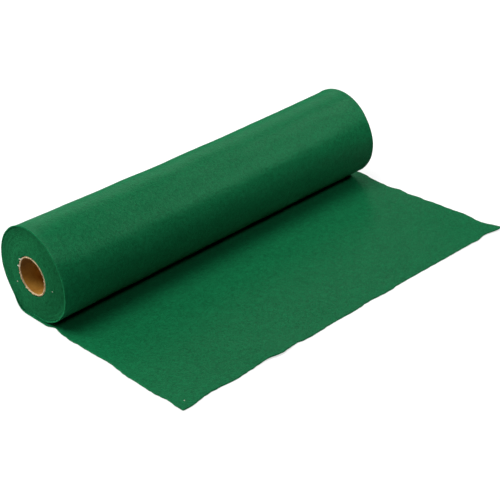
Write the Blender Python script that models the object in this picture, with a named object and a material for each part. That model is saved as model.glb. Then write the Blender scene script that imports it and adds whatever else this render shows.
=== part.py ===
"""A roll of green craft felt on a cardboard core, with its free end laid out flat in front.

+X runs along the roll, from the end that is nearer the viewer to the far one. The free end runs out
toward -Y. The origin is on the surface that the roll lies on, under the middle of the roll.
Angles round the roll start straight down and go up the back (+Y), over the top and down the front.
"""

import math
from collections import namedtuple

import bmesh
import bpy

# Felt
FELT_WIDTH = 0.450
FELT_THICKNESS = 0.0015
RUN_OUT = 0.2185  # from under the roll's axis to the middle of the front edge

# Wound body
ROLL_RADIUS = 0.0515  # over the outer turn, at the ends
AXIS_HEIGHT = 0.0499  # less than the radius, because the roll has sat down on a small flat
WAIST_DEPTH = 0.0018  # how much slimmer the middle is than the ends
WAIST_HALF_LENGTH = 0.190
END_FLARE = 0.0011  # the cut edge of the outer turn stands a little open
END_FLARE_REACH = 0.008
BUTT_Y = 0.006  # where the outer turn meets the loose end, under the roll

# Core
CORE_RADIUS = 0.0216
CORE_WALL = 0.0022
CORE_Y = 0.0018  # the core lies a little behind and below the middle of the roll
CORE_Z = 0.0485

GAP = 0.0003

ROLL_SEGMENTS = 60
FLAT_SEGMENTS = 3
BORE_SEGMENTS = 40
SHEET_COLUMNS = 44
SHEET_ROWS = 15

Station = namedtuple("Station", "at value")
Swell = namedtuple("Swell", "x distance height half_width half_length")
EndStep = namedtuple("EndStep", "share depth")

# How far the wound section stands out of a true spiral: degrees round the roll, metres.
SECTION_BULGE = [
    Station(at=0, value=-0.0005),
    Station(at=45, value=-0.0007),
    Station(at=90, value=-0.0003),
    Station(at=125, value=0.0006),
    Station(at=155, value=0.0015),
    Station(at=185, value=0.0016),
    Station(at=210, value=0.0003),
    Station(at=245, value=-0.0010),
    Station(at=270, value=0.0002),
    Station(at=295, value=0.0011),
    Station(at=325, value=0.0000),
    Station(at=360, value=-0.0005),
]

# Where the roll's stations stand along its length, as shares of the half length.
LENGTH_STATIONS = (-1.0, -0.985, -0.95, -0.85, -0.7, -0.45, -0.15, 0.15, 0.45, 0.7, 0.85, 0.95, 0.985, 1.0)

# The wound end, from the outer turn's cut edge in to the core: share of the way in, depth below the rim.
END_STEPS = [
    EndStep(share=0.05, depth=0.0002),
    EndStep(share=0.09, depth=0.0020),
    EndStep(share=0.22, depth=0.0016),
    EndStep(share=0.42, depth=0.0006),
    EndStep(share=1.0, depth=0.0004),
]

# How far the loose end's long edges stand past the roll's ends: distance from the roll's axis, metres.
NEAR_OVERHANG = [
    Station(at=-0.010, value=0.0000),
    Station(at=0.020, value=-0.0005),
    Station(at=0.055, value=0.0022),
    Station(at=0.085, value=0.0014),
    Station(at=0.110, value=0.0008),
    Station(at=0.145, value=0.0034),
    Station(at=0.175, value=0.0042),
    Station(at=0.200, value=0.0027),
    Station(at=0.220, value=0.0036),
]
FAR_OVERHANG = [
    Station(at=-0.010, value=0.0000),
    Station(at=0.020, value=0.0040),
    Station(at=0.045, value=0.0048),
    Station(at=0.070, value=0.0030),
    Station(at=0.089, value=0.0046),
    Station(at=0.105, value=0.0036),
    Station(at=0.135, value=0.0046),
    Station(at=0.160, value=0.0055),
    Station(at=0.190, value=0.0055),
    Station(at=0.207, value=0.0050),
    Station(at=0.222, value=0.0092),
]

# How far the front edge stands out of a straight line: place along the roll, metres.
FRONT_WAVE = [
    Station(at=-0.228, value=-0.0034),
    Station(at=-0.206, value=-0.0027),
    Station(at=-0.192, value=-0.0039),
    Station(at=-0.162, value=-0.0017),
    Station(at=-0.121, value=-0.0034),
    Station(at=-0.096, value=-0.0014),
    Station(at=-0.055, value=-0.0001),
    Station(at=0.000, value=0.0001),
    Station(at=0.040, value=0.0006),
    Station(at=0.073, value=-0.0002),
    Station(at=0.120, value=0.0011),
    Station(at=0.180, value=0.0031),
    Station(at=0.206, value=0.0023),
    Station(at=0.234, value=0.0033),
]

# Soft swells where the loose end stands off the surface.
SWELLS = [
    Swell(x=0.240, distance=0.226, height=0.0032, half_width=0.030, half_length=0.022),
    Swell(x=0.236, distance=0.120, height=0.0018, half_width=0.022, half_length=0.045),
    Swell(x=0.174, distance=0.205, height=0.0012, half_width=0.028, half_length=0.030),
    Swell(x=0.003, distance=0.178, height=0.0014, half_width=0.050, half_length=0.030),
    Swell(x=-0.108, distance=0.216, height=0.0015, half_width=0.024, half_length=0.026),
    Swell(x=-0.149, distance=0.150, height=0.0012, half_width=0.040, half_length=0.024),
]
FLAT_UNDER_ROLL = 0.045  # the loose end lies dead flat this far out from the roll's axis
SWELL_EASE = 0.030


def clear_scene():
    for obj in list(bpy.data.objects):
        bpy.data.objects.remove(obj, do_unlink=True)


def make_material(name, colour, roughness):
    material = bpy.data.materials.new(name)
    material.use_nodes = True
    shader = material.node_tree.nodes["Principled BSDF"]
    shader.inputs["Base Color"].default_value = (*colour, 1.0)
    shader.inputs["Roughness"].default_value = roughness
    shader.inputs["Metallic"].default_value = 0.0
    material.diffuse_color = (*colour, 1.0)
    return material


def add_object(name, mesh_builder, material):
    mesh = bpy.data.meshes.new(name)
    mesh_builder.to_mesh(mesh)
    mesh_builder.free()
    mesh.materials.append(material)
    mesh.shade_smooth()
    mesh.set_sharp_from_angle(angle=math.radians(35))
    obj = bpy.data.objects.new(name, mesh)
    bpy.context.scene.collection.objects.link(obj)
    return obj


def smooth_value(stations, at):
    """A smooth curve through the stations, level beyond the first and the last."""
    if at <= stations[0].at:
        return stations[0].value
    if at >= stations[-1].at:
        return stations[-1].value
    right = next(index for index, station in enumerate(stations) if station.at > at)
    before, after = stations[right - 1], stations[right]
    span = after.at - before.at
    share = (at - before.at) / span
    slope_before = slope_at(stations, right - 1) * span
    slope_after = slope_at(stations, right) * span
    return (
        before.value * (2 * share**3 - 3 * share**2 + 1)
        + slope_before * (share**3 - 2 * share**2 + share)
        + after.value * (3 * share**2 - 2 * share**3)
        + slope_after * (share**3 - share**2)
    )


def slope_at(stations, index):
    before = stations[max(index - 1, 0)]
    after = stations[min(index + 1, len(stations) - 1)]
    return (after.value - before.value) / (after.at - before.at)


def turn_radius(degrees, x):
    """The outer turn's radius: a spiral, with the section's unevenness, the waist and the open ends."""
    over_top = (1 - math.cos(math.radians(degrees))) / 2
    from_end = FELT_WIDTH / 2 - abs(x)
    waist = WAIST_DEPTH * max(0.0, 1 - (x / WAIST_HALF_LENGTH) ** 2)
    closed_in = END_FLARE * (1 - math.exp(-from_end / END_FLARE_REACH))
    spiral = ROLL_RADIUS - FELT_THICKNESS * degrees / 360
    return spiral + smooth_value(SECTION_BULGE, degrees) - over_top * (waist + closed_in)


def section_point(degrees, x):
    radius = turn_radius(degrees, x)
    turn = math.radians(degrees)
    return radius * math.sin(turn), AXIS_HEIGHT - radius * math.cos(turn)


def first_clear_angle(x, floor, degrees, step):
    """The angle nearest straight down where the turn is clear of the floor under it."""
    while section_point(degrees, x)[1] < floor:
        degrees += step
    return degrees


def roll_section(x):
    """The wound body's outline at x: (y, z) points, from the outer turn's end round the back."""
    on_sheet = FELT_THICKNESS + GAP
    first = first_clear_angle(x, 0.0, 0.0, 0.5)
    last = first_clear_angle(x, on_sheet, 360.0, -0.5)
    step = (last - first) / ROLL_SEGMENTS
    skin = [section_point(first + step * index, x) for index in range(1, ROLL_SEGMENTS)]
    butt = BUTT_Y + GAP
    back = section_point(first, x)[0]
    front = section_point(last, x)[0]
    shares = [index / FLAT_SEGMENTS for index in range(FLAT_SEGMENTS + 1)]
    back_flat = [(butt + (back - butt) * share, 0.0) for share in shares]
    front_flat = [(front + (butt - front) * share, on_sheet) for share in shares]
    return back_flat + skin + front_flat


def bore_ring(mesh, x, radius, segments):
    ring = []
    for index in range(segments):
        turn = 2 * math.pi * index / segments
        ring.append(mesh.verts.new((x, CORE_Y + radius * math.sin(turn), CORE_Z - radius * math.cos(turn))))
    return ring


def join_rings(mesh, first, second):
    for index in range(len(first)):
        after = (index + 1) % len(first)
        mesh.faces.new((first[index], first[after], second[after], second[index]))


def end_rings(mesh, outline, x):
    """Rings of the wound end, stepping in from the outer turn's edge to the core's bore."""
    side = math.copysign(1.0, x)
    bore = CORE_RADIUS + GAP
    rings = []
    for index, step in enumerate(END_STEPS):
        inner_floor = FELT_THICKNESS + GAP if index else 0.0
        ring = []
        for y, outline_z in outline:
            z = max(outline_z, inner_floor)
            turn = math.atan2(y - CORE_Y, CORE_Z - z)
            bore_y = CORE_Y + bore * math.sin(turn)
            bore_z = CORE_Z - bore * math.cos(turn)
            place = (
                x - side * step.depth,
                y + (bore_y - y) * step.share,
                z + (bore_z - z) * step.share,
            )
            ring.append(mesh.verts.new(place))
        rings.append(ring)
    return rings


def build_roll(material):
    mesh = bmesh.new()
    half = FELT_WIDTH / 2
    skin = []
    for share in LENGTH_STATIONS:
        x = share * half
        skin.append([mesh.verts.new((x, y, z)) for y, z in roll_section(x)])
    near = end_rings(mesh, roll_section(-half), -half)
    far = end_rings(mesh, roll_section(half), half)
    rings = list(reversed(near)) + skin + far
    for first, second in zip(rings, rings[1:]):
        join_rings(mesh, first, second)
    join_rings(mesh, rings[-1], rings[0])
    bmesh.ops.recalc_face_normals(mesh, faces=mesh.faces)
    return add_object("felt_roll", mesh, material)


def swell_height(x, distance):
    ease = min(1.0, max(0.0, (distance - FLAT_UNDER_ROLL) / SWELL_EASE))
    height = 0.0
    for swell in SWELLS:
        across = (x - swell.x) / swell.half_width
        along = (distance - swell.distance) / swell.half_length
        height += swell.height * math.exp(-(across**2) - along**2)
    # What is left of a swell a few half widths out is cut to nothing, so that the rest lies flat.
    height = max(0.0, height - 0.0002)
    return height * ease * ease * (3 - 2 * ease)


def sheet_place(across, out):
    """Plan place of a sheet point: across from 0, near, to 1, far; out from 0, under the roll, to 1."""
    half = FELT_WIDTH / 2
    x = (2 * across - 1) * (half + 0.003)
    front = RUN_OUT + smooth_value(FRONT_WAVE, x)
    distance = -BUTT_Y + (front + BUTT_Y) * out
    near = -half - smooth_value(NEAR_OVERHANG, distance)
    far = half + smooth_value(FAR_OVERHANG, distance)
    return near + (far - near) * across, distance


def build_loose_end(material):
    mesh = bmesh.new()
    layers = []
    for lift in (0.0, FELT_THICKNESS):
        rows = []
        for row in range(SHEET_ROWS + 1):
            verts = []
            for column in range(SHEET_COLUMNS + 1):
                x, distance = sheet_place(column / SHEET_COLUMNS, row / SHEET_ROWS)
                verts.append(mesh.verts.new((x, -distance, lift + swell_height(x, distance))))
            rows.append(verts)
        layers.append(rows)
    for rows in layers:
        for row in range(SHEET_ROWS):
            for column in range(SHEET_COLUMNS):
                corners = (
                    rows[row][column],
                    rows[row][column + 1],
                    rows[row + 1][column + 1],
                    rows[row + 1][column],
                )
                mesh.faces.new(corners)
    rims = []
    for rows in layers:
        rim = rows[0] + [line[-1] for line in rows[1:]] + rows[-1][-2::-1] + [line[0] for line in rows[-2:0:-1]]
        rims.append(rim)
    join_rings(mesh, rims[0], rims[1])
    bmesh.ops.recalc_face_normals(mesh, faces=mesh.faces)
    return add_object("loose_end", mesh, material)


def build_core(material):
    mesh = bmesh.new()
    half = FELT_WIDTH / 2
    rings = [
        bore_ring(mesh, -half, CORE_RADIUS, BORE_SEGMENTS),
        bore_ring(mesh, half, CORE_RADIUS, BORE_SEGMENTS),
        bore_ring(mesh, half, CORE_RADIUS - CORE_WALL, BORE_SEGMENTS),
        bore_ring(mesh, -half, CORE_RADIUS - CORE_WALL, BORE_SEGMENTS),
    ]
    for index, ring in enumerate(rings):
        join_rings(mesh, ring, rings[(index + 1) % len(rings)])
    bmesh.ops.recalc_face_normals(mesh, faces=mesh.faces)
    return add_object("core_tube", mesh, material)


def main():
    clear_scene()
    felt = make_material("green_felt", (0.016, 0.135, 0.060), 0.95)
    card = make_material("brown_card", (0.45, 0.28, 0.13), 0.90)
    build_core(card)
    build_roll(felt)
    build_loose_end(felt)


main()
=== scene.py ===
"""Looks of a roll of green craft felt on a cardboard core, with its free end laid out in front.

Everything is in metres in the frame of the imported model: +X along the roll toward its far end, +Z up, the
free end running out toward -Y. Angles round the roll start straight down and go up the back (+Y).
The felt is one long strip. It starts at the front edge, runs under the roll and then winds inward.
"""
import math
from collections import namedtuple

import bpy
import numpy as np
from mathutils import Matrix, Vector


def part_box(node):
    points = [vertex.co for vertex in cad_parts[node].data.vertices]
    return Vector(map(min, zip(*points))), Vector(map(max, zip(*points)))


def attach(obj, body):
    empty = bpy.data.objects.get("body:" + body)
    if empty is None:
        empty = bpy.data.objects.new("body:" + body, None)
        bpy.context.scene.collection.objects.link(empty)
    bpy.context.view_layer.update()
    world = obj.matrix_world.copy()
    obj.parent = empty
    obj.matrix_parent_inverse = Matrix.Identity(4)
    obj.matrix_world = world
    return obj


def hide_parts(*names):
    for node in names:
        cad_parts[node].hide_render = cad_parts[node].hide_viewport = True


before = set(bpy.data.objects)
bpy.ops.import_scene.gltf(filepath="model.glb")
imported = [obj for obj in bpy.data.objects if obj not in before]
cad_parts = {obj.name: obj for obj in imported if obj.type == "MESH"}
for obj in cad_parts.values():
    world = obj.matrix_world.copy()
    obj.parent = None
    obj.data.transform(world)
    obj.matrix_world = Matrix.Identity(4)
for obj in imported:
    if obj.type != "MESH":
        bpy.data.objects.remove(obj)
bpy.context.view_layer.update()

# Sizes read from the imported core.
CORE_LOW, CORE_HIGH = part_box("core_tube")
HALF_WIDTH = (CORE_HIGH.x - CORE_LOW.x) / 2
CORE_RADIUS = (CORE_HIGH.y - CORE_LOW.y) / 2
CORE_Y = (CORE_HIGH.y + CORE_LOW.y) / 2
CORE_Z = (CORE_HIGH.z + CORE_LOW.z) / 2

# Sizes that the solids were made from.
FELT_THICKNESS = 0.0015
CORE_WALL = 0.0022
BORE_RADIUS = CORE_RADIUS - CORE_WALL
RUN_OUT = 0.2185
ROLL_RADIUS = 0.0515
AXIS_HEIGHT = 0.0499
WAIST_DEPTH = 0.0018
WAIST_HALF_LENGTH = 0.190
END_FLARE = 0.0011
NEAR_FLARE_REACH = 0.003
FAR_FLARE_REACH = 0.008
BUTT_Y = 0.006
FLAT_UNDER_ROLL = 0.045
SWELL_EASE = 0.030

# The felt as it shows: each layer is a hair thinner than the room it has.
LAYER = 0.00145
LAYER_FILL = 0.992
CORE_CLEARANCE = 0.0001
EDGE_ROUND = 0.00040  # how far in from a cut edge the felt's faces start to turn over
EDGE_BLUNT = 0.62  # what is left of the thickness right at a free edge
INNER_EDGE_BLUNT = 0.95  # the same for the inner turns, which hold each other flat
EDGE_COLUMNS = 4  # columns of faces at each long edge that take the second, lighter felt copy: cut felt, partly painted highlight and sheen

# Where the wound strip is cut into two pieces, in turns from the butt, and where it stops short of its end.
OUTER_TURNS = 1.02
TURNS_LEFT_OFF = 0.12
FLARE_SHARED_TURNS = 5
FLARE_SHARE = 0.9

# Mean radii round the core, for lengths along the strip.
MIDDLE_RADIUS = 0.045

# How a free cut edge wanders: how far, over what wavelength, and how deep into the sheet.
EDGE_WANDER = 0.00018
EDGE_WANDER_LENGTH = 0.009
EDGE_WANDER_REACH = 0.012

# The photograph's camera.
CAMERA_AZIMUTH = -44.3905
CAMERA_ELEVATION = 29.8164
CAMERA_TILT = -1.3615
CAMERA_DISTANCE = 1.36211
CAMERA_AIM = Vector((-0.04474, -0.11939, 0.05))
CAMERA_LENS = 98.024
SENSOR_WIDTH = 36.0

Station = namedtuple("Station", "at value")
Swell = namedtuple("Swell", "x distance height half_width half_length")
Softbox = namedtuple("Softbox", "name place aim width depth power")
Speck = namedtuple("Speck", "name place size")
Tuft = namedtuple("Tuft", "name turn length width lean")
Ring = namedtuple("Ring", "radius inset rough pale")

# How far the wound section stands out of a true spiral: degrees round the roll, metres.
SECTION_BULGE = [
    Station(at=0, value=-0.0005),
    Station(at=45, value=-0.0007),
    Station(at=90, value=-0.0003),
    Station(at=125, value=0.0011),
    Station(at=155, value=0.0020),
    Station(at=185, value=0.0016),
    Station(at=210, value=0.0003),
    Station(at=245, value=-0.0010),
    Station(at=270, value=0.0002),
    Station(at=295, value=0.0011),
    Station(at=325, value=0.0000),
    Station(at=360, value=-0.0005),
]

# How far the lower back of the roll has sagged outward near its near end: degrees round the roll, metres.
NEAR_SAG = [
    Station(at=8, value=0.0000),
    Station(at=18, value=0.0020),
    Station(at=27, value=0.0038),
    Station(at=35, value=0.0030),
    Station(at=44, value=0.0006),
    Station(at=52, value=0.0000),
]
NEAR_SAG_REACH = 0.060

# A soft ridge along the front of the roll, away from its ends: degrees round the roll, metres.
FRONT_RIDGE = [
    Station(at=195, value=0.0000),
    Station(at=212, value=-0.0004),
    Station(at=222, value=-0.0006),
    Station(at=244, value=0.0007),
    Station(at=258, value=0.0006),
    Station(at=285, value=-0.0006),
    Station(at=310, value=0.0000),
]
RIDGE_FADE = 0.035

# How far the outer turn's near edge stands out under the roll: turns from the butt, metres.
NEAR_LIP = [
    Station(at=0.00, value=0.0019),
    Station(at=0.05, value=0.0015),
    Station(at=0.13, value=0.0000),
]

# How far the loose end's long edges stand past the roll's ends: distance from the roll's axis, metres.
NEAR_OVERHANG = [
    Station(at=-0.010, value=0.0019),
    Station(at=0.010, value=0.0020),
    Station(at=0.018, value=0.0019),
    Station(at=0.026, value=-0.0016),
    Station(at=0.033, value=-0.0000),
    Station(at=0.040, value=0.0012),
    Station(at=0.048, value=0.0017),
    Station(at=0.056, value=0.0024),
    Station(at=0.066, value=0.0017),
    Station(at=0.080, value=0.0020),
    Station(at=0.096, value=0.0017),
    Station(at=0.106, value=0.0011),
    Station(at=0.114, value=0.0014),
    Station(at=0.126, value=0.0024),
    Station(at=0.137, value=0.0041),
    Station(at=0.152, value=0.0039),
    Station(at=0.172, value=0.0047),
    Station(at=0.184, value=0.0042),
    Station(at=0.199, value=0.0030),
    Station(at=0.208, value=0.0041),
    Station(at=0.220, value=0.0036),
]
FAR_OVERHANG = [
    Station(at=-0.010, value=0.0000),
    Station(at=0.020, value=0.0097),
    Station(at=0.034, value=0.0095),
    Station(at=0.042, value=0.0073),
    Station(at=0.054, value=0.0059),
    Station(at=0.066, value=0.0048),
    Station(at=0.076, value=0.0043),
    Station(at=0.086, value=0.0066),
    Station(at=0.094, value=0.0052),
    Station(at=0.102, value=0.0038),
    Station(at=0.118, value=0.0053),
    Station(at=0.126, value=0.0051),
    Station(at=0.136, value=0.0066),
    Station(at=0.150, value=0.0075),
    Station(at=0.166, value=0.0086),
    Station(at=0.178, value=0.0099),
    Station(at=0.190, value=0.0084),
    Station(at=0.199, value=0.0072),
    Station(at=0.207, value=0.0070),
    Station(at=0.215, value=0.0090),
    Station(at=0.224, value=0.0110),
]

# How far the front edge stands out of a straight line: place along the roll, metres.
FRONT_WAVE = [
    Station(at=-0.228, value=-0.0007),
    Station(at=-0.214, value=-0.0003),
    Station(at=-0.206, value=-0.0023),
    Station(at=-0.192, value=-0.0033),
    Station(at=-0.176, value=-0.0022),
    Station(at=-0.162, value=-0.0007),
    Station(at=-0.140, value=-0.0017),
    Station(at=-0.121, value=-0.0022),
    Station(at=-0.108, value=0.0011),
    Station(at=-0.096, value=0.0005),
    Station(at=-0.084, value=-0.0010),
    Station(at=-0.072, value=0.0008),
    Station(at=-0.055, value=0.0011),
    Station(at=-0.030, value=0.0003),
    Station(at=0.000, value=0.0013),
    Station(at=0.020, value=0.0003),
    Station(at=0.048, value=0.0021),
    Station(at=0.066, value=0.0012),
    Station(at=0.096, value=0.0018),
    Station(at=0.120, value=0.0024),
    Station(at=0.140, value=0.0034),
    Station(at=0.160, value=0.0038),
    Station(at=0.180, value=0.0047),
    Station(at=0.192, value=0.0055),
    Station(at=0.206, value=0.0033),
    Station(at=0.216, value=0.0066),
    Station(at=0.236, value=0.0091),
]

# Soft swells where the loose end stands off the surface.
SWELLS = [
    Swell(x=0.240, distance=0.226, height=0.0018, half_width=0.030, half_length=0.022),
    Swell(x=0.236, distance=0.120, height=0.0018, half_width=0.022, half_length=0.045),
    Swell(x=0.174, distance=0.205, height=0.0012, half_width=0.028, half_length=0.030),
    Swell(x=0.003, distance=0.178, height=0.0014, half_width=0.050, half_length=0.030),
    Swell(x=-0.108, distance=0.216, height=0.0015, half_width=0.024, half_length=0.026),
    Swell(x=-0.149, distance=0.150, height=0.0012, half_width=0.040, half_length=0.024),
]

# How deep the strip's long edges lie inside the ends of the roll: turns from the butt, metres.
END_INSET = [
    Station(at=0.00, value=0.0000),
    Station(at=0.90, value=0.0000),
    Station(at=1.08, value=0.0030),
    Station(at=1.60, value=0.0040),
    Station(at=2.10, value=0.0046),
    Station(at=3.00, value=0.0050),
    Station(at=4.50, value=0.0050),
    Station(at=6.50, value=0.0044),
    Station(at=9.00, value=0.0031),
    Station(at=12.0, value=0.0015),
    Station(at=14.0, value=0.0007),
    Station(at=16.0, value=0.0003),
    Station(at=17.5, value=0.0000),
]

SOFTBOXES = [
    Softbox("overhead", place=(-0.38, 0.12, 1.50), aim=(0.0, -0.05, 0.0), width=0.9, depth=1.2, power=19.4),
    Softbox("near_top", place=(-0.75, 0.35, 1.35), aim=(0.0, 0.0, 0.0), width=0.7, depth=0.7, power=8.6),
    Softbox("back_low", place=(-0.30, 1.50, 0.45), aim=(0.0, 0.0, 0.05), width=1.4, depth=0.6, power=31.5),
    Softbox("back_left", place=(-1.30, 0.90, 0.50), aim=(0.0, 0.0, 0.05), width=0.8, depth=0.8, power=5.4),
    Softbox("far_side", place=(1.10, -0.10, 1.10), aim=(0.1, 0.0, 0.05), width=0.8, depth=0.8, power=8.6),
    Softbox("far_back", place=(0.90, 1.00, 0.90), aim=(0.0, 0.0, 0.05), width=1.0, depth=0.8, power=2.9),
    Softbox(
        "front_glint", place=(0.75, -0.66, 0.81), aim=(0.0, -0.05, 0.05), width=0.2, depth=0.2, power=6.6
    ),
]
FLOOR_GLOW = 0.66
FAR_FLOOR_GLOW = 1.0
FLOOR_HALF_SIZE = 4.0
FLOOR_DROP = 0.00005

# The tube's wall at one end, from its inside round the rim to its outside.
CORE_PROFILE = [
    Ring(radius=BORE_RADIUS, inset=0.0250, rough=0.0, pale=False),
    Ring(radius=BORE_RADIUS, inset=0.0060, rough=0.0, pale=False),
    Ring(radius=BORE_RADIUS, inset=0.0012, rough=0.3, pale=False),
    Ring(radius=BORE_RADIUS + 0.00015, inset=0.0004, rough=1.0, pale=True),
    Ring(radius=BORE_RADIUS + 0.0005, inset=0.0, rough=1.0, pale=True),
    Ring(radius=BORE_RADIUS + 0.0009, inset=-0.00008, rough=1.0, pale=True),
    Ring(radius=BORE_RADIUS + 0.0013, inset=0.0004, rough=1.0, pale=True),
    Ring(radius=CORE_RADIUS - 0.0003, inset=0.0013, rough=0.8, pale=True),
    Ring(radius=CORE_RADIUS, inset=0.0020, rough=0.3, pale=False),
    Ring(radius=CORE_RADIUS, inset=0.0060, rough=0.0, pale=False),
]

LINT = [
    Speck("lint_disc_low", place=(-0.2262, 0.0257, 0.0340), size=0.00050),
    Speck("lint_disc_front", place=(-0.2246, -0.0300, 0.0442), size=0.00050),
    Speck("lint_sheet", place=(-0.2190, -0.2085, 0.0019), size=0.00055),
]

TUFTS = [
    Tuft("tuft_upper", turn=137.0, length=0.0030, width=0.0036, lean=0.60),
    Tuft("tuft_back", turn=103.0, length=0.0024, width=0.0022, lean=0.95),
]
TUFT_DEPTH = 0.0020  # how far the scraps' roots lie inside the tube's outer face
TUFT_INSET = 0.0004  # how far they lie inside its end


def smooth_values(stations, at):
    """A smooth curve through the stations, level beyond the first and the last."""
    places = np.array([station.at for station in stations])
    values = np.array([station.value for station in stations])
    after = np.minimum(np.arange(len(places)) + 1, len(places) - 1)
    before = np.maximum(np.arange(len(places)) - 1, 0)
    slopes = (values[after] - values[before]) / (places[after] - places[before])
    at = np.asarray(at, float)
    left = np.clip(np.searchsorted(places, at, side="right") - 1, 0, len(places) - 2)
    span = places[left + 1] - places[left]
    share = np.clip((at - places[left]) / span, 0.0, 1.0)
    return (
        values[left] * (2 * share**3 - 3 * share**2 + 1)
        + slopes[left] * span * (share**3 - 2 * share**2 + share)
        + values[left + 1] * (3 * share**2 - 2 * share**3)
        + slopes[left + 1] * span * (share**3 - share**2)
    )


def smooth_step(low, high, at):
    share = np.clip((at - low) / (high - low), 0.0, 1.0)
    return share * share * (3 - 2 * share)


def ripples(u, v, wavelength, seed, count=18):
    """Smooth unevenness of about unit size over a flat strip, made of waves in all directions."""
    draw = np.random.default_rng(seed)
    total = np.zeros(np.broadcast(u, v).shape)
    for _ in range(count):
        heading = draw.uniform(0, math.pi)
        pitch = 2 * math.pi / (wavelength * draw.uniform(0.65, 1.5))
        start = draw.uniform(0, 2 * math.pi)
        total += np.sin(pitch * (u * math.cos(heading) + v * math.sin(heading)) + start)
    return total / math.sqrt(count / 2)


# Meshes


def mesh_object(name, points, faces, materials, face_slots=None, smooth=True):
    mesh = bpy.data.meshes.new(name)
    corners = faces.shape[1]
    mesh.vertices.add(len(points))
    mesh.vertices.foreach_set("co", np.ascontiguousarray(points, dtype=np.float32).ravel())
    mesh.loops.add(faces.size)
    mesh.loops.foreach_set("vertex_index", np.ascontiguousarray(faces, dtype=np.int32).ravel())
    mesh.polygons.add(len(faces))
    mesh.polygons.foreach_set("loop_start", np.arange(0, faces.size, corners, dtype=np.int32))
    if face_slots is not None:
        mesh.polygons.foreach_set("material_index", np.ascontiguousarray(face_slots, dtype=np.int32))
    mesh.polygons.foreach_set("use_smooth", np.broadcast_to(smooth, len(faces)).astype(bool))
    mesh.update(calc_edges=True)
    mesh.validate()
    for material in materials:
        mesh.materials.append(material)
    obj = bpy.data.objects.new(name, mesh)
    bpy.context.scene.collection.objects.link(obj)
    return obj


def grid_faces(rows, columns, start=0):
    """Quads of a grid of points, row after row."""
    row, column = np.meshgrid(np.arange(rows - 1), np.arange(columns - 1), indexing="ij")
    first = start + (row * columns + column).ravel()
    return np.stack([first, first + 1, first + columns + 1, first + columns], axis=1)


def border_of(rows, columns):
    """The border points of a grid, once round, in the direction in which its quads turn."""
    low = np.arange(columns)
    high = np.arange(1, rows) * columns + columns - 1
    back = (rows - 1) * columns + np.arange(columns - 2, -1, -1)
    home = np.arange(rows - 2, 0, -1) * columns
    return np.concatenate([low, high, back, home])


def closed_sheet(name, upper, lower, materials, edge_columns, flat_sides=False):
    """A closed sheet between two grids of points; its outer columns take the second material."""
    rows, columns = upper.shape[:2]
    count = rows * columns
    points = np.concatenate([upper.reshape(-1, 3), lower.reshape(-1, 3)])
    top = grid_faces(rows, columns)
    bottom = grid_faces(rows, columns, count)[:, ::-1]
    border = border_of(rows, columns)
    after = np.roll(border, -1)
    side = np.stack([after, border, border + count, after + count], axis=1)
    faces = np.concatenate([top, bottom, side])
    column = np.tile(np.arange(columns - 1), rows - 1)
    at_edge = (column < edge_columns) | (column >= columns - 1 - edge_columns)
    slots = np.concatenate([at_edge, at_edge, np.ones(len(side), bool)]).astype(np.int32)
    a, b, c = points[faces[:, 0]], points[faces[:, 1]], points[faces[:, 2]]
    if np.einsum("ij,ij->i", a, np.cross(b, c)).sum() < 0:
        faces = faces[:, ::-1]
    smooth = np.ones(len(faces), bool)
    if flat_sides:
        smooth[-len(side):] = False
    return mesh_object(name, points, faces, materials, slots, smooth)


def edge_fill(from_edge, blunt):
    """Share of the full thickness that is left so near to a cut edge."""
    inside = np.clip(from_edge / EDGE_ROUND, 0.0, 1.0)
    return blunt + (1 - blunt) * np.sqrt(np.clip(1 - (1 - inside) ** 2, 0.0, 1.0))


# Materials


class Nodes:
    """A material's nodes, made and wired with one call each."""

    def __init__(self, name):
        self.material = bpy.data.materials.new(name)
        self.material.use_nodes = True
        self.tree = self.material.node_tree
        self.shader = self.tree.nodes["Principled BSDF"]
        self.place = self.make("ShaderNodeTexCoord").outputs["Object"]

    def make(self, kind, **settings):
        node = self.tree.nodes.new(kind)
        for name, value in settings.items():
            setattr(node, name, value)
        return node

    def feed(self, socket, value):
        if isinstance(value, bpy.types.NodeSocket):
            self.tree.links.new(value, socket)
        else:
            socket.default_value = value

    def noise(self, scale, detail=2.0, roughness=0.5, distortion=0.0):
        node = self.make("ShaderNodeTexNoise")
        self.feed(node.inputs["Vector"], self.place)
        node.inputs["Scale"].default_value = scale
        node.inputs["Detail"].default_value = detail
        node.inputs["Roughness"].default_value = roughness
        node.inputs["Distortion"].default_value = distortion
        return node.outputs["Fac"]

    def ramp(self, value, low, high, to_low=0.0, to_high=1.0):
        node = self.make("ShaderNodeMapRange")
        self.feed(node.inputs["Value"], value)
        node.inputs["From Min"].default_value = low
        node.inputs["From Max"].default_value = high
        node.inputs["To Min"].default_value = to_low
        node.inputs["To Max"].default_value = to_high
        return node.outputs["Result"]

    def math(self, operation, first, second):
        node = self.make("ShaderNodeMath", operation=operation)
        self.feed(node.inputs[0], first)
        self.feed(node.inputs[1], second)
        return node.outputs["Value"]

    def mix(self, share, first, second):
        node = self.make("ShaderNodeMix", data_type="RGBA")
        self.feed(node.inputs["Factor"], share)
        self.feed(node.inputs["A"], first)
        self.feed(node.inputs["B"], second)
        return node.outputs["Result"]

    def bump(self, height, strength, distance, normal=None):
        node = self.make("ShaderNodeBump")
        self.feed(node.inputs["Height"], height)
        node.inputs["Strength"].default_value = strength
        node.inputs["Distance"].default_value = distance
        if normal is not None:
            self.feed(node.inputs["Normal"], normal)
        return node.outputs["Normal"]


def rgb(red, green, blue):
    return (red, green, blue, 1.0)


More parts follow.
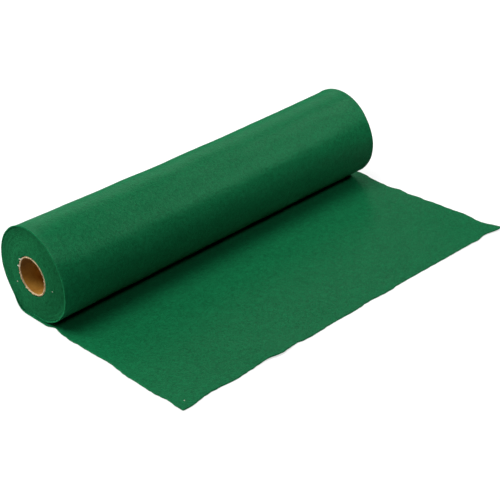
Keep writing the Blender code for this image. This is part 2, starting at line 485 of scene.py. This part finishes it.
def felt_material(name, light, warmth, glint, contrast=1.0):
    """Needled felt: short fibres lying every way, faint mottling, a soft sheen on a smooth surface."""
    nodes = Nodes(name)
    fibre = nodes.noise(850.0, detail=3.0, roughness=0.62, distortion=1.3)
    strand = nodes.noise(430.0, detail=3.0, roughness=0.6, distortion=1.2)
    clump = nodes.noise(170.0, detail=3.0, roughness=0.6, distortion=0.6)
    mottle = nodes.noise(38.0, detail=3.0, roughness=0.55)
    fine = nodes.ramp(fibre, 0.38, 0.62, 0.0, 0.28)
    grain = nodes.math("ADD", fine, nodes.ramp(strand, 0.38, 0.62, 0.0, 0.52))
    coarse = nodes.ramp(clump, 0.38, 0.62, 0.0, 0.14)
    patch = nodes.math("ADD", coarse, nodes.ramp(mottle, 0.35, 0.65, 0.0, 0.06))
    red, green, blue = 0.0034 * light * warmth, 0.0840 * light, 0.0297 * light
    spread = 0.43 * contrast
    deep = rgb(red * (1 - spread), green * (1 - spread), blue * (1 - spread))
    bright = rgb(red * (1 + spread), green * (1 + spread), blue * (1 + spread))
    colour = nodes.mix(nodes.math("ADD", grain, patch), deep, bright)
    stray = nodes.ramp(nodes.noise(600.0, detail=5.0, roughness=0.7, distortion=3.5), 0.64, 0.72)
    colour = nodes.mix(nodes.math("MULTIPLY", stray, 0.5), colour, rgb(0.014, 0.150, 0.062))
    nodes.feed(nodes.shader.inputs["Base Color"], colour)
    nodes.shader.inputs["Roughness"].default_value = 0.36
    nodes.shader.inputs["Specular IOR Level"].default_value = glint
    nodes.shader.inputs["Specular Tint"].default_value = rgb(0.15, 1.0, 0.45)
    nodes.shader.inputs["Sheen Weight"].default_value = 0.06
    nodes.shader.inputs["Sheen Roughness"].default_value = 0.45
    nodes.shader.inputs["Sheen Tint"].default_value = rgb(0.12, 0.80, 0.38)
    relief = nodes.math("ADD", nodes.math("MULTIPLY", fibre, 0.35), nodes.math("MULTIPLY", strand, 0.65))
    soft = nodes.bump(clump, 0.25, 0.0012)
    nodes.feed(nodes.shader.inputs["Normal"], nodes.bump(relief, 0.34, 0.0007, soft))
    return nodes.material


def card_material():
    """The kraft inside of the core, with painted shade near its mouths and on its upper half."""
    nodes = Nodes("kraft_card")
    fibre = nodes.noise(260.0, detail=4.0, roughness=0.65, distortion=0.8)
    blotch = nodes.noise(45.0, detail=3.0)
    tone = nodes.math("ADD", nodes.math("MULTIPLY", fibre, 0.45), nodes.math("MULTIPLY", blotch, 0.55))
    colour = nodes.mix(nodes.ramp(tone, 0.35, 0.65), rgb(0.540, 0.245, 0.026), rgb(0.800, 0.410, 0.062))
    along = nodes.make("ShaderNodeSeparateXYZ")
    nodes.feed(along.inputs["Vector"], nodes.place)
    from_middle = nodes.math("ABSOLUTE", along.outputs["X"], 0.0)
    # Painted shade: the colour darkens toward each mouth and over the upper half of the bore.
    at_mouth = nodes.ramp(from_middle, HALF_WIDTH - 0.024, HALF_WIDTH, 0.0, 0.62)
    roof = nodes.ramp(along.outputs["Z"], CORE_Z - 0.009, CORE_Z + 0.004, 0.0, 0.72)
    painted_shade = rgb(0.062, 0.018, 0.001)
    colour = nodes.mix(roof, nodes.mix(at_mouth, colour, painted_shade), painted_shade)
    nodes.feed(nodes.shader.inputs["Base Color"], colour)
    nodes.shader.inputs["Roughness"].default_value = 0.82
    nodes.shader.inputs["Specular IOR Level"].default_value = 0.25
    nodes.feed(nodes.shader.inputs["Normal"], nodes.bump(fibre, 0.4, 0.0004))
    return nodes.material


def card_rim_material():
    """Cut board: pale, fibrous, in thin plies."""
    nodes = Nodes("cut_card")
    fibre = nodes.noise(1400.0, detail=4.0, roughness=0.7)
    blotch = nodes.noise(230.0, detail=3.0, distortion=0.6)
    tone = nodes.math("ADD", nodes.math("MULTIPLY", fibre, 0.5), nodes.math("MULTIPLY", blotch, 0.5))
    colour = nodes.mix(nodes.ramp(tone, 0.36, 0.62), rgb(0.30, 0.20, 0.09), rgb(0.60, 0.47, 0.29))
    nodes.feed(nodes.shader.inputs["Base Color"], colour)
    nodes.shader.inputs["Roughness"].default_value = 0.92
    nodes.shader.inputs["Specular IOR Level"].default_value = 0.2
    nodes.feed(nodes.shader.inputs["Normal"], nodes.bump(fibre, 0.7, 0.0004))
    return nodes.material


def lint_material():
    nodes = Nodes("pale_lint")
    fluff = nodes.noise(2400.0, detail=2.0)
    colour = nodes.mix(fluff, rgb(0.42, 0.44, 0.33), rgb(0.72, 0.72, 0.60))
    nodes.feed(nodes.shader.inputs["Base Color"], colour)
    nodes.shader.inputs["Roughness"].default_value = 0.95
    return nodes.material


def floor_material():
    nodes = Nodes("studio_floor")
    tone = nodes.mix(nodes.noise(3.0), rgb(0.29, 0.29, 0.29), rgb(0.31, 0.31, 0.31))
    nodes.feed(nodes.shader.inputs["Base Color"], tone)
    nodes.shader.inputs["Roughness"].default_value = 0.9
    nodes.shader.inputs["Specular IOR Level"].default_value = 0.0
    nodes.shader.inputs["Emission Color"].default_value = rgb(1.0, 1.0, 1.0)
    # The surface glows more where the lamps no longer reach it, so that it is white out to its edge.
    away = nodes.make("ShaderNodeVectorMath", operation="LENGTH")
    nodes.feed(away.inputs[0], nodes.place)
    nodes.feed(
        nodes.shader.inputs["Emission Strength"],
        nodes.ramp(away.outputs["Value"], 0.7, 2.2, FLOOR_GLOW, FAR_FLOOR_GLOW),
    )
    return nodes.material


# The wound strip


def outline_round_core(change):
    """The wound body's outline as angles round the core (degrees, from the butt on) and radii (metres)."""
    degrees = np.linspace(0.0, 360.0, 2881)
    over_top = (1 - np.cos(np.radians(degrees))) / 2
    radius = ROLL_RADIUS - FELT_THICKNESS * degrees / 360 + smooth_values(SECTION_BULGE, degrees)
    radius = radius + smooth_values(change, degrees)
    radius = radius - over_top * END_FLARE
    y = radius * np.sin(np.radians(degrees))
    z = AXIS_HEIGHT - radius * np.cos(np.radians(degrees))
    z = np.maximum(z, np.where(degrees < 180, 0.0, FELT_THICKNESS))
    under_y = np.linspace(0.0, BUTT_Y, 25)[1:]
    y = np.concatenate([y, under_y])
    z = np.concatenate([z, np.full(len(under_y), FELT_THICKNESS)])
    past_down = np.concatenate([degrees > 180, np.ones(len(under_y), bool)])
    turn = np.degrees(np.arctan2(y - CORE_Y, CORE_Z - z))
    turn = np.where(past_down & (turn < 90), turn + 360, turn)
    first = math.degrees(math.atan2(BUTT_Y - CORE_Y, CORE_Z))
    keep = (turn > first) & (turn < first + 360)
    start = (first, math.hypot(BUTT_Y - CORE_Y, CORE_Z))
    finish = (first + 360, math.hypot(BUTT_Y - CORE_Y, CORE_Z - FELT_THICKNESS))
    order = np.argsort(turn[keep], kind="stable")
    turns = np.concatenate([[start[0]], turn[keep][order], [finish[0]]])
    radii = np.concatenate([[start[1]], np.hypot(y - CORE_Y, z - CORE_Z)[keep][order], [finish[1]]])
    return turns, radii


NO_CHANGE = [Station(at=0, value=0.0), Station(at=360, value=0.0)]
OUTLINE_TURNS, OUTLINE_RADII = outline_round_core(NO_CHANGE)
SAG_TURNS, SAG_RADII = outline_round_core(NEAR_SAG)
RIDGE_TURNS, RIDGE_RADII = outline_round_core(FRONT_RIDGE)
BUTT_TURN = OUTLINE_TURNS[0]
BORE = CORE_RADIUS + CORE_CLEARANCE
TURNS = 1 / (1 - (OUTLINE_RADII[-1] - BORE) / (OUTLINE_RADII[0] - BORE))


def waist_at(x):
    inside = np.clip(1 - (x / WAIST_HALF_LENGTH) ** 2, 0.0, 1.0)
    return WAIST_DEPTH * inside


def strip_radius(turns, x):
    """Radius round the core of the strip's outer face, so many turns from the butt."""
    degrees = BUTT_TURN + 360 * (turns % 1.0)
    outline = np.interp(degrees, OUTLINE_TURNS, OUTLINE_RADII)
    sag = np.interp(degrees, SAG_TURNS, SAG_RADII) - outline
    ridge = np.interp(degrees, RIDGE_TURNS, RIDGE_RADII) - outline
    outline = outline + sag * np.exp(-(((x + HALF_WIDTH) / NEAR_SAG_REACH) ** 2))
    outline = outline + ridge * smooth_step(0.0, RIDGE_FADE, HALF_WIDTH - np.abs(x))
    unwound = (outline - BORE) / (1 - (turns % 1.0) / TURNS)
    over_top = (1 - np.cos(np.radians(degrees))) / 2
    body = BORE + (unwound - over_top * waist_at(x)) * (1 - turns / TURNS)
    near_edge = np.exp(-(HALF_WIDTH + x) / NEAR_FLARE_REACH)
    far_edge = np.exp(-(HALF_WIDTH - x) / FAR_FLARE_REACH)
    # At the back the next layers have opened with the outer turn, and at the front it stands alone.
    deeper = np.clip(1 - (turns - 1) / FLARE_SHARED_TURNS, 0.0, 1.0)
    together = (1 - smooth_step(150, 205, degrees)) * deeper
    open_share = np.where(turns < 1.0, 1.0, FLARE_SHARE * together)
    return body + END_FLARE * (near_edge + far_edge) * over_top * open_share


def round_core(turns, radius, x):
    angle = np.radians(BUTT_TURN + 360 * turns)
    y = CORE_Y + radius * np.sin(angle)
    z = CORE_Z - radius * np.cos(angle)
    return np.stack([x + 0 * radius, y, z], axis=-1)


def edge_inset(turns, side):
    """How deep the strip's edge lies inside the roll's end: deepest on the side toward the loose end."""
    degrees = (BUTT_TURN + 360 * turns) % 360
    shallow = 0.05 + 0.30 * smooth_step(2.0, 10.0, turns)
    groove = shallow + (1 - shallow) * np.exp(-((((degrees - 80) % 360 - 180) / 85) ** 2))
    wander = 0.00008 * ripples(turns, 0 * turns, 0.9, seed=31 + side) * smooth_step(0.8, 1.4, turns)
    ragged = 0.00004 * ripples(turns * 20, 0 * turns, 1.0, seed=47 + side)
    lip = smooth_values(NEAR_LIP, turns) if side == 1 else 0.0
    return smooth_values(END_INSET, turns) * groove + wander + ragged - lip


def wind(name, turns, edge_steps, middle, materials, inner):
    """A stretch of the wound strip: a row for each entry of turns, from its near edge to its far edge."""
    turns = turns[:, None]
    steps = np.array(edge_steps)[None, :]
    middles = np.linspace(0, 1, middle + 2)[None, 1:-1]

    def across(at):
        near = -HALF_WIDTH + edge_inset(at, 1)
        far = HALF_WIDTH - edge_inset(at, 2)
        start, stop = near + steps[:, -1:], far - steps[:, -1:]
        between = start + (stop - start) * middles
        x = np.concatenate([near + steps, between, far - steps[:, ::-1]], axis=1)
        return x, np.minimum(x - near, far - x)

    x, from_edge = across(turns)
    # The inner turns are cut on a slant, so that each one's edge runs on into the next one's.
    x_inside = across(np.minimum(turns + 1.0, TURNS))[0] if inner else x
    outer = strip_radius(turns, x)
    if not inner:
        length = turns * 2 * math.pi * MIDDLE_RADIUS
        uneven = 0.00016 * ripples(x, length, 0.060, seed=5) + 0.00005 * ripples(x, length, 0.017, seed=6)
        outer = outer + uneven * smooth_step(0.06, 0.16, turns) * (1 - smooth_step(0.84, 0.94, turns))
    room = outer - np.maximum(strip_radius(np.minimum(turns + 1.0, TURNS), x), BORE)
    thickness = room * LAYER_FILL
    if not inner:
        thickness = np.minimum(thickness, LAYER)
    half = thickness / 2
    swing = half * edge_fill(from_edge, INNER_EDGE_BLUNT if inner else EDGE_BLUNT)
    middle_radius = outer - half
    upper = round_core(turns, middle_radius + swing, x)
    lower = round_core(turns, middle_radius - swing, x_inside)
    return closed_sheet(name, upper, lower, materials, EDGE_COLUMNS, flat_sides=inner)


EDGE_STEPS_FINE = (0.0, 0.00007, 0.00018, 0.00030, 0.00044, 0.0009, 0.002, 0.004, 0.007, 0.011, 0.016)
EDGE_STEPS_COARSE = (0.0, 0.00012, 0.00028, 0.00044, 0.0012, 0.006)


def build_turns(felt, cut, frayed_and_highlit):
    outer_rows = np.linspace(0.0, OUTER_TURNS, 250)
    outer = wind("felt_outer_turn", outer_rows, EDGE_STEPS_FINE, 60, [felt, frayed_and_highlit], inner=False)
    inner_count = int((TURNS - OUTER_TURNS - TURNS_LEFT_OFF) * 100)
    inner_rows = np.linspace(OUTER_TURNS, TURNS - TURNS_LEFT_OFF, inner_count)
    inner = wind("felt_inner_turns", inner_rows, EDGE_STEPS_COARSE, 4, [felt, cut], inner=True)
    return outer, inner


# The loose end


def swell_height(x, distance):
    height = np.zeros(np.broadcast(x, distance).shape)
    for swell in SWELLS:
        across = (x - swell.x) / swell.half_width
        along = (distance - swell.distance) / swell.half_length
        height += swell.height * np.exp(-(across**2) - along**2)
    height = np.maximum(0.0, height - 0.0002)
    return height * smooth_step(0.0, 1.0, (distance - FLAT_UNDER_ROLL) / SWELL_EASE)


def sheet_plan(across, out):
    """Plan place of a sheet point: across from 0, near, to 1, far; out from 0, under the roll, to 1."""
    x = (2 * across - 1) * (HALF_WIDTH + 0.003)
    front = RUN_OUT + smooth_values(FRONT_WAVE, x)
    distance = -BUTT_Y + (front + BUTT_Y) * out
    near = -HALF_WIDTH - smooth_values(NEAR_OVERHANG, distance)
    far = HALF_WIDTH + smooth_values(FAR_OVERHANG, distance)
    return near + (far - near) * across, distance


def round_corner(from_side, from_front, radius):
    """Pulls a square corner in to a round one: new distances from the side and from the front edge."""
    s = np.clip(1 - from_side / radius, 0.0, 1.0)
    t = np.clip(1 - from_front / radius, 0.0, 1.0)
    return (
        np.where(s > 0, radius * (1 - s * np.sqrt(1 - t * t / 2)), from_side),
        np.where(t > 0, radius * (1 - t * np.sqrt(1 - s * s / 2)), from_front),
    )


SHEET_WIDTH = 2 * HALF_WIDTH
SHEET_LENGTH = RUN_OUT + BUTT_Y
NEAR_CORNER = 0.0014
FAR_CORNER = 0.0015


def build_loose_end(felt, frayed_and_highlit):
    steps = np.array(EDGE_STEPS_FINE)
    between = np.linspace(steps[-1], SHEET_WIDTH - steps[-1], 150)[1:-1]
    from_near = np.concatenate([steps, between, SHEET_WIDTH - steps[::-1]])
    ends = steps[::-1]
    from_front = np.concatenate([np.linspace(SHEET_LENGTH, steps[-1], 78)[:-1], ends])
    from_far = SHEET_WIDTH - from_near
    side_near, front_near = round_corner(from_near[None, :], from_front[:, None], NEAR_CORNER)
    side_far, front_far = round_corner(from_far[None, :], from_front[:, None], FAR_CORNER)
    near_half = (from_near < SHEET_WIDTH / 2)[None, :]
    across = np.where(near_half, side_near, SHEET_WIDTH - side_far) / SHEET_WIDTH
    out = 1 - np.where(near_half, front_near, front_far) / SHEET_LENGTH
    x, distance = sheet_plan(across, out)
    loose = smooth_step(0.03, 0.07, distance)
    at_near = np.exp(-from_near / EDGE_WANDER_REACH)[None, :]
    at_far = np.exp(-from_far / EDGE_WANDER_REACH)[None, :]
    at_front = np.exp(-from_front / EDGE_WANDER_REACH)[:, None]
    x = x + loose * EDGE_WANDER * at_near * ripples(0 * x, distance, EDGE_WANDER_LENGTH, seed=11)
    x = x + loose * EDGE_WANDER * at_far * ripples(0 * x, distance, EDGE_WANDER_LENGTH, seed=12)
    distance = distance + at_front * EDGE_WANDER * ripples(x, 0 * x, EDGE_WANDER_LENGTH, seed=13)
    height = swell_height(x, distance)
    height = height + loose * 0.00010 * (1 + ripples(x, distance, 0.045, seed=14)).clip(0)
    inside = np.minimum(np.minimum(from_near, from_far)[None, :], from_front[:, None])
    half = LAYER / 2
    swing = half * edge_fill(inside, EDGE_BLUNT)
    upper = np.stack([x, -distance, height + half + swing], axis=-1)
    lower = np.stack([x, -distance, height + half - swing], axis=-1)
    # The first row closes on the wound strip under the roll.
    return closed_sheet("felt_end", upper, lower, [felt, frayed_and_highlit], EDGE_COLUMNS)


# The core


def build_core(card, rim):
    """The tube: smooth inside, a ragged pale rim at each end."""
    around = 256
    angle = np.linspace(0, 2 * math.pi, around, endpoint=False)
    order = [(-1, ring) for ring in CORE_PROFILE] + [(1, ring) for ring in reversed(CORE_PROFILE)]
    rings = []
    for side, ring in order:
        seed = 71 if side < 0 else 83
        torn = 0.00022 * ripples(angle * CORE_RADIUS, 0 * angle + ring.radius, 0.0030, seed=seed)
        torn += 0.00012 * ripples(angle * CORE_RADIUS, 0 * angle + ring.radius, 0.0009, seed=seed + 1)
        wobble = 0.00012 * ripples(angle * CORE_RADIUS, 0 * angle, 0.009, seed=seed + 2)
        x = side * (HALF_WIDTH - ring.inset + ring.rough * torn)
        r = np.minimum(ring.radius + ring.rough * wobble, CORE_RADIUS)
        y = CORE_Y + r * np.sin(angle)
        z = CORE_Z - r * np.cos(angle)
        rings.append(np.stack([x + 0 * angle, y, z], axis=-1))
    points = np.concatenate(rings)
    faces, slots = [], []
    here = np.arange(around)
    after = (here + 1) % around
    for index in range(len(order)):
        nxt = (index + 1) % len(order)
        this_ring, next_ring = index * around, nxt * around
        quads = [this_ring + here, this_ring + after, next_ring + after, next_ring + here]
        faces.append(np.stack(quads, axis=1))
        pale = order[index][1].pale or order[nxt][1].pale
        slots.append(np.full(around, int(pale)))
    faces = np.concatenate(faces)
    a, b, c = points[faces[:, 0]], points[faces[:, 1]], points[faces[:, 2]]
    if np.einsum("ij,ij->i", a, np.cross(b, c)).sum() < 0:
        faces = faces[:, ::-1]
    return mesh_object("core_board", points, faces, [card, rim], np.concatenate(slots))


def flake(tuft, centre, outward, along, material, seed):
    """A small torn scrap of paper, standing off the rim and curling over."""
    draw = np.random.default_rng(seed)
    rows, columns = 9, 7
    s = np.linspace(0, 1, rows)[:, None]
    t = np.linspace(-1, 1, columns)[None, :]
    reach = s * tuft.length
    spread = t * tuft.width / 2 * (1 - 0.55 * s**1.5) * (1 + 0.18 * draw.uniform(-1, 1, (rows, columns)))
    curl = tuft.lean * reach
    lift = 0.0004 * np.sin(s * 2.6) + 0.00012 * draw.uniform(-1, 1, (rows, columns)) + 0.0003 * (t**2) * s
    base = np.array(centre)[None, None, :]
    face_out = np.array((-1.0, 0.0, 0.0))[None, None, :]
    upper = (
        base
        + np.array(outward)[None, None, :] * curl[..., None]
        + face_out * (reach * math.sqrt(max(0.0, 1 - tuft.lean**2)) + lift)[..., None]
        + np.array(along)[None, None, :] * spread[..., None]
    )
    thick = 0.00022 * np.array(outward)[None, None, :]
    return closed_sheet(tuft.name, upper, upper - thick, [material, material], edge_columns=1)


def build_tufts(paper):
    made = []
    for index, tuft in enumerate(TUFTS):
        turn = math.radians(tuft.turn)
        outward = (0.0, math.sin(turn), -math.cos(turn))
        along = (0.0, math.cos(turn), math.sin(turn))
        radius = CORE_RADIUS - TUFT_DEPTH
        y = CORE_Y + radius * math.sin(turn)
        z = CORE_Z - radius * math.cos(turn)
        centre = (-HALF_WIDTH + TUFT_INSET, y, z)
        made.append(flake(tuft, centre, outward, along, paper, 90 + index))
    return made


def build_lint(material):
    made = []
    for index, speck in enumerate(LINT):
        draw = np.random.default_rng(200 + index)
        rows, columns = 10, 14
        theta = np.linspace(0.02, math.pi - 0.02, rows)[:, None]
        phi = np.linspace(0, 2 * math.pi, columns, endpoint=False)[None, :]
        lump = speck.size * (1 + 0.35 * draw.uniform(-1, 1, (rows, columns)))
        x = lump * np.sin(theta) * np.cos(phi) * 0.7
        y = lump * np.sin(theta) * np.sin(phi) * 1.2
        z = lump * np.cos(theta) * 0.8
        points = np.stack([x, y, z], axis=-1).reshape(-1, 3) + np.array(speck.place)
        faces = []
        for row in range(rows - 1):
            this_ring, next_ring = row * columns, (row + 1) * columns
            for column in range(columns):
                nxt = (column + 1) % columns
                faces.append((this_ring + column, next_ring + column, next_ring + nxt, this_ring + nxt))
        made.append(mesh_object(speck.name, points, np.array(faces), [material]))
    return made


# Stage


def add_camera():
    data = bpy.data.cameras.new("photo_camera")
    data.sensor_width = SENSOR_WIDTH
    data.lens = CAMERA_LENS
    data.clip_start = 0.01
    data.clip_end = 50.0
    camera = bpy.data.objects.new("photo_camera", data)
    turn = (
        Matrix.Rotation(math.radians(CAMERA_AZIMUTH), 4, "Z")
        @ Matrix.Rotation(math.radians(90 - CAMERA_ELEVATION), 4, "X")
        @ Matrix.Rotation(math.radians(CAMERA_TILT), 4, "Z")
    )
    back = turn @ Vector((0.0, 0.0, CAMERA_DISTANCE))
    camera.matrix_world = Matrix.Translation(CAMERA_AIM + back) @ turn
    bpy.context.scene.collection.objects.link(camera)
    bpy.context.scene.camera = camera


def add_softbox(box):
    data = bpy.data.lights.new(box.name, "AREA")
    data.shape = "RECTANGLE"
    data.size = box.width
    data.size_y = box.depth
    data.energy = box.power
    light = bpy.data.objects.new(box.name, data)
    light.location = box.place
    facing = Vector(box.aim) - Vector(box.place)
    light.rotation_euler = facing.to_track_quat("-Z", "Y").to_euler()
    light.visible_camera = False
    bpy.context.scene.collection.objects.link(light)


def add_stage():
    half, low = FLOOR_HALF_SIZE, -FLOOR_DROP
    points = np.array([(-half, -half, low), (half, -half, low), (half, half, low), (-half, half, low)])
    floor = mesh_object("studio_floor", points, np.array([[0, 1, 2, 3]]), [floor_material()])
    # Felt mirrors nothing: the white floor, kept out of its gloss, leaves no grey veil low on the roll.
    floor.visible_glossy = False
    world = bpy.data.worlds.new("studio")
    world.use_nodes = True
    world.node_tree.nodes["Background"].inputs["Color"].default_value = rgb(1.0, 1.0, 1.0)
    world.node_tree.nodes["Background"].inputs["Strength"].default_value = 1.0
    # The white surroundings show behind the object and give no light.
    world.cycles_visibility.diffuse = False
    world.cycles_visibility.glossy = False
    bpy.context.scene.world = world
    for box in SOFTBOXES:
        add_softbox(box)
    bpy.context.scene.view_settings.view_transform = "Standard"


def dress():
    felt = felt_material("green_felt", light=1.0, warmth=1.0, glint=0.08, contrast=0.9)
    laid = felt_material("green_felt_laid", light=1.01, warmth=1.0, glint=0.08, contrast=1.0)
    # The copy on the cut ends is a little lighter, and its extra red is painted sheen.
    cut = felt_material("green_felt_cut", light=1.10, warmth=1.9, glint=0.0, contrast=0.85)
    # The copy on the cut edges of the outer turn and the loose end is lighter and redder: partly the cut
    # felt's own paler edge, partly a painted highlight along the lit lip.
    frayed_and_highlit = felt_material("green_felt_frayed_edge", light=1.45, warmth=1.6, glint=0.0)
    card = card_material()
    rim = card_rim_material()
    lint = lint_material()

    outer, inner = build_turns(felt, cut, frayed_and_highlit)
    for piece in (outer, inner):
        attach(piece, "root")
        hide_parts("felt_roll")

    loose = build_loose_end(laid, frayed_and_highlit)
    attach(loose, "root")
    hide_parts("loose_end")

    board = build_core(card, rim)
    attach(board, "root")
    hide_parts("core_tube")

    for scrap in build_tufts(lint):
        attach(scrap, "root")
    for speck in build_lint(lint):
        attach(speck, "root")


add_camera()
add_stage()
dress()
